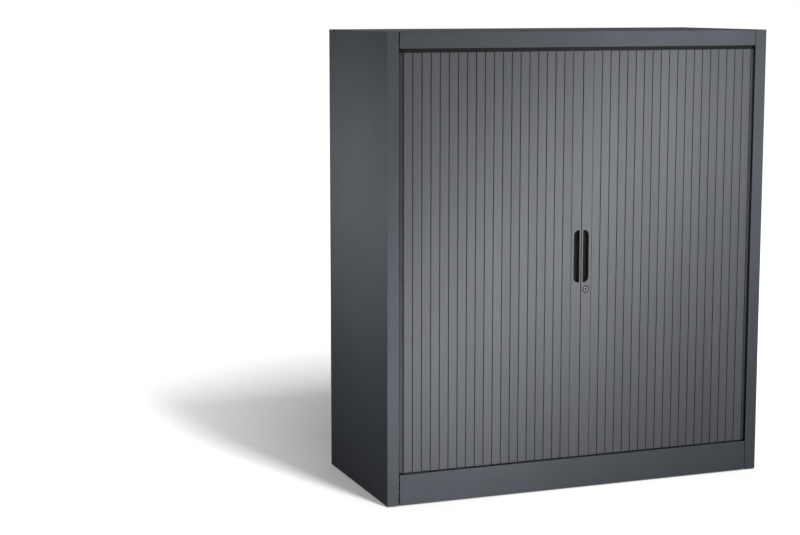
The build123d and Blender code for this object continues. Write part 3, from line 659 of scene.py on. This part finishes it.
def lock_bezel(x, z, face, back):
    """Lock housing: its profile in (radius, depth behind the face), with a dish between bore and rim, goes
    round the axis at x, z."""
    bore, body, rim = 5.55 * MM, 7.5 * MM, 8.75 * MM
    dish = np.array([(5.65, 0.75), (6.1, 0.5), (6.7, 0.22), (7.3, 0.05), (7.8, 0.0), (8.2, 0.06),
                     (8.55, 0.25), (8.72, 0.55), (8.75, 0.8)]) * MM + (0.0, face)
    profile = np.concatenate([[(bore, back), (bore, face + 0.9 * MM)], dish,
                              [(rim, RAIL_FACE), (body, RAIL_FACE), (body, back)]])
    return revolved(profile, x, z)


def screw_head(x, z):
    """Round countersunk head seen from behind: depth y = crest - dome (r/R)^2 - cross(r, a), where the cross
    is a recess along two lines through the middle, deepest at the centre."""
    radius, shank_radius, levels, turned = 3.5 * MM, 1.9 * MM, 12, 0.4
    crest, seat, tip = 209.95 * MM, 209.0 * MM, 204.0 * MM
    dome, recess, arm_half, arm_reach = 0.25 * MM, 0.7 * MM, 0.55 * MM, 2.1 * MM
    r = radius * np.linspace(0.0, 1.0, levels)[1:, None]
    angle = np.linspace(0.0, 2 * np.pi, 49)[None, :-1] + turned
    across_x, across_z = r * np.cos(angle), r * np.sin(angle)
    arm = np.minimum(np.abs(r * np.cos(angle - turned)), np.abs(r * np.sin(angle - turned)))
    slot = (np.clip((arm_half - arm) / (0.2 * MM), 0.0, 1.0)
            * np.clip((arm_reach - r) / (0.4 * MM), 0.0, 1.0))
    y = crest - dome * (r / radius) ** 2 - recess * slot
    grid = np.stack((x + across_x, y, z + across_z), axis=-1)
    columns = grid.shape[1]
    base = grid[-1] * (1.0, 0.0, 1.0) + (0.0, seat, 0.0)
    shank = np.stack([np.column_stack((x + shank_radius * np.cos(angle[0]), np.full(columns, depth),
                                       z + shank_radius * np.sin(angle[0]))) for depth in (seat, tip)])
    rings = np.concatenate([grid, base[None], shank])
    row, here = np.meshgrid(np.arange(len(rings) - 1), np.arange(columns), indexing="ij")
    start, after = row * columns + here, row * columns + (here + 1) % columns
    walls = np.stack((start, start + columns, after + columns, after), axis=-1).reshape(-1, 4)
    vertices = np.concatenate([rings.reshape(-1, 3), [(x, crest - recess, z)]])
    middle = len(vertices) - 1
    fan = np.column_stack((np.full(columns, middle), np.arange(columns), (np.arange(columns) + 1) % columns))
    end = (np.arange(columns)[::-1] + (len(rings) - 1) * columns).tolist()
    return vertices, walls.tolist() + fan.tolist() + [end]


# Operators

class CABINET_OT_carcass(Operator):
    """Powder-coat the panels, liners and shelves"""
    bl_idname = "cabinet.carcass"
    bl_label = "Carcass"

    def execute(self, context):
        material = kept("powder_coated_steel", lambda: powder_coat(context.scene.cabinet_steel))
        paint(nodes_in("painted_steel"), material)
        return {"FINISHED"}


class CABINET_OT_slats(Operator):
    """Build the slats of both shutters"""
    bl_idname = "cabinet.slats"
    bl_label = "Shutter slats"

    def execute(self, context):
        settings = context.scene.cabinet_slats
        material = extruded_slat(settings, True)
        frames = slat_frames(settings)
        for name, side in SIDES.items():
            for group, own in (("front", frames[:FRONT_SLATS]), ("tail", frames[FRONT_SLATS:])):
                vertices, faces, tone, groove_shade = slat_group(settings, own, side)
                piece = new_piece(f"{name}_{group}_slat_faces", vertices, faces, material, "carcass",
                                  "slat_plastic", [f"{name}_{group}_slats"])
                for key, values in (("slat_tone", tone), ("slat_groove_shade", groove_shade)):
                    piece.data.attributes.new(key, "FLOAT", "POINT").data.foreach_set(
                        "value", values.astype(np.float32))
                if group == "front":
                    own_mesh(piece)
        return {"FINISHED"}


class CABINET_OT_lead_rails(Operator):
    """Finish the two lead rails"""
    bl_idname = "cabinet.lead_rails"
    bl_label = "Lead rails"

    def execute(self, context):
        paint([f"{name}_lead_rail" for name in SIDES], extruded_slat(context.scene.cabinet_slats, False))
        return {"FINISHED"}


class CABINET_OT_handles(Operator):
    """Build the two recessed handles"""
    bl_idname = "cabinet.handles"
    bl_label = "Handles"

    def execute(self, context):
        settings = context.scene.cabinet_handles
        material = kept("moulded_black_plastic", moulded_black)
        shell = handle_tray(settings)
        for name, side in SIDES.items():
            new_piece(f"{name}_handle_tray", *mirrored(*shell, side), material, f"{name}_shutter",
                      "black_plastic", [f"{name}_handle_shell"])
        return {"FINISHED"}


class CABINET_OT_lock(Operator):
    """Build the dished lock housing and plate the plug"""
    bl_idname = "cabinet.lock"
    bl_label = "Lock"

    def execute(self, context):
        low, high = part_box("lock_housing")
        x, _, z = (low + high) / 2
        new_piece("lock_bezel", *lock_bezel(x, z, low[1], high[1]), lacquer(), "right_shutter", "lock_black",
                  ["lock_housing"])
        paint(["lock_plug"], lock_face((x, 0.0, z)))
        return {"FINISHED"}


class CABINET_OT_hardware(Operator):
    """Zinc-plate the clips, nuts, spindles and fixings"""
    bl_idname = "cabinet.hardware"
    bl_label = "Hardware"

    def execute(self, context):
        paint(nodes_in("zinc_steel"), kept("zinc_plate", zinc_plate))
        return {"FINISHED"}


class CABINET_OT_back_screws(Operator):
    """Build the cross-head screws of the back"""
    bl_idname = "cabinet.back_screws"
    bl_label = "Back screws"

    def execute(self, context):
        places = [(side * SIDE_SCREW_X, z) for side in (-1, 1) for z in SIDE_SCREW_HEIGHTS]
        places += [(x, z) for z in ROW_SCREW_HEIGHTS for x in ROW_SCREW_PLACES]
        new_piece("back_cross_screws", *joined([screw_head(x, z) for x, z in places]),
                  kept("zinc_plate", zinc_plate), "carcass", "zinc_steel", ["back_screws"])
        return {"FINISHED"}


class CABINET_OT_plastic_parts(Operator):
    """Finish the tracks, shoes, feet and stops"""
    bl_idname = "cabinet.plastic_parts"
    bl_label = "Tracks, shoes and feet"

    def execute(self, context):
        paint(nodes_in("black_plastic"), kept("moulded_black_plastic", moulded_black))
        paint(nodes_in("rubber"), rubber())
        return {"FINISHED"}


class CABINET_OT_stage(Operator):
    """Set the floor, the lights, the world and the camera"""
    bl_idname = "cabinet.stage"
    bl_label = "Stage"

    def execute(self, context):
        settings = context.scene.cabinet_stage
        studio_floor(settings)
        studio_world(context.scene, settings)
        studio_lights(settings)
        studio_camera(context.scene)
        context.scene.view_settings.view_transform = "Standard"
        return {"FINISHED"}


# Studio

def shown_rays(tree):
    """1 for what the camera, reflections and clear materials see, 0 for light that only brightens."""
    seen = add(tree, "ShaderNodeLightPath")
    shown = math_node(tree, "MAXIMUM", seen.outputs["Is Camera Ray"], seen.outputs["Is Glossy Ray"])
    return math_node(tree, "MAXIMUM", shown, seen.outputs["Is Transmission Ray"])


def studio_floor(settings):
    """Pale floor that keeps shadows. Outside the cabinet's footprint it glows by low up to the distance
    near, and from there on more and more, up to the white of the background at the distance far. Distances
    count twice along X."""
    low, near, far = 0.21, 0.97, 2.8
    mesh = bpy.data.meshes.new("studio_floor")
    mesh.from_pydata([(x * FLOOR_HALF, y * FLOOR_HALF, FLOOR_LEVEL) for x, y in
                      ((-1, -1), (1, -1), (1, 1), (-1, 1))], [], [(0, 1, 2, 3)])
    floor = bpy.data.objects.new("studio_floor", mesh)
    bpy.context.scene.collection.objects.link(floor)
    material, tree, surface = shader("studio_floor")
    shown = shown_rays(tree)
    away = add(tree, "ShaderNodeVectorMath", {0: place(tree, stretch=(2.0, 1.0, 0.0))},
               operation="LENGTH").outputs["Value"]
    half = [(end - start) / 2 - 10.0 * MM for start, end in zip(*CAD_BOX)]
    across = add(tree, "ShaderNodeVectorMath", {0: place(tree, stretch=(1.0 / half[0], 1.0 / half[1], 0.0))},
                 operation="ABSOLUTE")
    apart = add(tree, "ShaderNodeSeparateXYZ", {0: across.outputs[0]})
    outside = math_node(tree, "GREATER_THAN", math_node(tree, "MAXIMUM", apart.outputs["X"],
                                                        apart.outputs["Y"]), 1.0)
    glow = math_node(tree, "MULTIPLY", outside, spread(tree, away, low, 1.0, near, far))
    cloud = noise(tree, place(tree), 1.2, 3.0)
    colour = tuple(settings.floor)
    pale = ramp(tree, cloud, [(0.3, shade(colour, 0.985)), (0.7, shade(colour, 1.015))])
    dimmed = add(tree, "ShaderNodeVectorMath", {0: pale, "Scale": spread(tree, shown, 0.1, 1.0)},
                 operation="SCALE").outputs[0]
    connect(tree, surface, {
        "Base Color": dimmed,
        "Roughness": 0.9,
        "Specular IOR Level": 0.1,
        "Emission Color": (1.0, 1.0, 1.0, 1.0),
        "Emission Strength": math_node(tree, "MULTIPLY", shown, glow),
    })
    mesh.materials.append(material)


def studio_world(scene, settings):
    """White for what the camera and reflections see, and a plain grey light on everything else."""
    world = bpy.data.worlds.new("studio_world")
    world.use_nodes = True
    scene.world = world
    tree = world.node_tree
    tree.nodes.clear()
    shown = shown_rays(tree)
    strength = spread(tree, shown, settings.ambient, 1.0)
    background = add(tree, "ShaderNodeBackground", {"Color": (1.0, 1.0, 1.0, 1.0), "Strength": strength})
    add(tree, "ShaderNodeOutputWorld", {"Surface": background.outputs[0]})


def soft_light(name, place_at, aim, size, power):
    """White rectangular area light at a place, aimed at a point."""
    lamp = bpy.data.lights.new(name, "AREA")
    lamp.shape = "RECTANGLE"
    lamp.size, lamp.size_y = size
    lamp.energy = power
    light = bpy.data.objects.new(name, lamp)
    bpy.context.scene.collection.objects.link(light)
    start, end = np.array(place_at), np.array(aim)
    direction = end - start
    flat = math.hypot(direction[0], direction[1])
    light.rotation_euler = (math.atan2(flat, -direction[2]), 0.0, math.atan2(-direction[0], direction[1]))
    light.location = place_at
    return light


def lit_by(light, floor, kept_state):
    """Let a light reach only the floor, or everything but the floor."""
    receivers = bpy.data.collections.new(light.name + "_receivers")
    receivers.objects.link(floor)
    receivers.collection_objects[0].light_linking.link_state = kept_state
    light.light_linking.receiver_collection = receivers


def studio_lights(settings):
    """A key and a wide top light that reach only the floor, where the key throws the shadow. A slanting
    strip in front, and soft lights over the lid, by both sides, behind, and before the lower right and the
    upper left corner, reach everything but the floor."""
    floor = bpy.data.objects["studio_floor"]
    key = soft_light("key_light", (0.4, -3.1, 4.5), (0.0, 0.0, 0.4), (0.6, 1.6), settings.key)
    top = soft_light("top_light", (-0.4, 0.31, 4.2), (-0.4, 0.3, 0.0), (3.0, 3.0), settings.key * 0.07)
    for light in (key, top):
        lit_by(light, floor, "INCLUDE")
    strip = soft_light("front_strip", (-0.05, -0.72, 0.6), (-0.05, 0.0, 0.6), (1.5, 0.2), settings.strip)
    strip.rotation_euler = (math.pi / 2, -math.radians(45), 0.0)
    sides = [
        soft_light("lid_light", (0.0, 0.4, 2.5), (0.0, 0.3, 1.1), (0.8, 0.8), settings.side * 1.8),
        soft_light("left_light", (-0.95, 0.0, 0.74), (-0.5, 0.0, 0.74), (0.9, 0.25), settings.side * 1.08),
        soft_light("right_light", (1.6, -0.3, 0.9), (0.5, 0.0, 0.7), (0.6, 0.6), settings.side * 2.0),
        soft_light("back_light", (-0.3, 1.8, 1.1), (0.0, 0.2, 0.6), (0.8, 0.8), settings.side * 4.0),
        soft_light("corner_light", (0.95, -1.5, 0.2), (0.42, -0.2, 0.25), (0.6, 0.6), settings.side * 2.1),
        soft_light("upper_light", (-0.5, -0.95, 1.45), (-0.48, -0.21, 1.05), (0.3, 0.3), settings.side * 0.8),
    ]
    for light in (strip, *sides):
        light.visible_camera = False
        lit_by(light, floor, "EXCLUDE")


def studio_camera(scene):
    """Camera in front of the cabinet and to its left, a little above its top."""
    lens = bpy.data.cameras.new("camera")
    lens.sensor_width = 36.0
    lens.lens = 79.51
    lens.shift_y = -0.03
    camera = bpy.data.objects.new("camera", lens)
    scene.collection.objects.link(camera)
    camera.location = (-1.8928, -4.0098, 1.1849)
    camera.rotation_euler = (math.pi / 2 - 0.1364, 0.0, -0.3587)
    scene.camera = camera


class CABINET_PT_sidebar(Panel):
    """Lists the steps in the sidebar"""
    bl_idname = "CABINET_PT_sidebar"
    bl_label = "Shutter cabinet"
    bl_space_type = "VIEW_3D"
    bl_region_type = "UI"
    bl_category = "Cabinet"

    def draw(self, context):
        for step in STEPS:
            self.layout.operator(step.bl_idname)


STEPS = (CABINET_OT_stage, CABINET_OT_carcass, CABINET_OT_slats, CABINET_OT_lead_rails, CABINET_OT_handles,
         CABINET_OT_lock, CABINET_OT_hardware, CABINET_OT_back_screws, CABINET_OT_plastic_parts)
SETTINGS = {"cabinet_steel": SteelSettings, "cabinet_slats": SlatSettings,
            "cabinet_handles": HandleSettings, "cabinet_stage": StageSettings}


def register():
    """Add the classes and their settings."""
    for kind in (*SETTINGS.values(), *STEPS, CABINET_PT_sidebar):
        bpy.utils.register_class(kind)
    for name, kind in SETTINGS.items():
        setattr(bpy.types.Scene, name, PointerProperty(type=kind))


def unregister():
    """Remove the settings and the classes."""
    for name in SETTINGS:
        delattr(bpy.types.Scene, name)
    for kind in reversed((*SETTINGS.values(), *STEPS, CABINET_PT_sidebar)):
        bpy.utils.unregister_class(kind)


def main():
    """Run every step in order."""
    register()
    for step in STEPS:
        group, name = step.bl_idname.split(".")
        getattr(getattr(bpy.ops, group), name)()


if __name__ == "__main__":
    main()
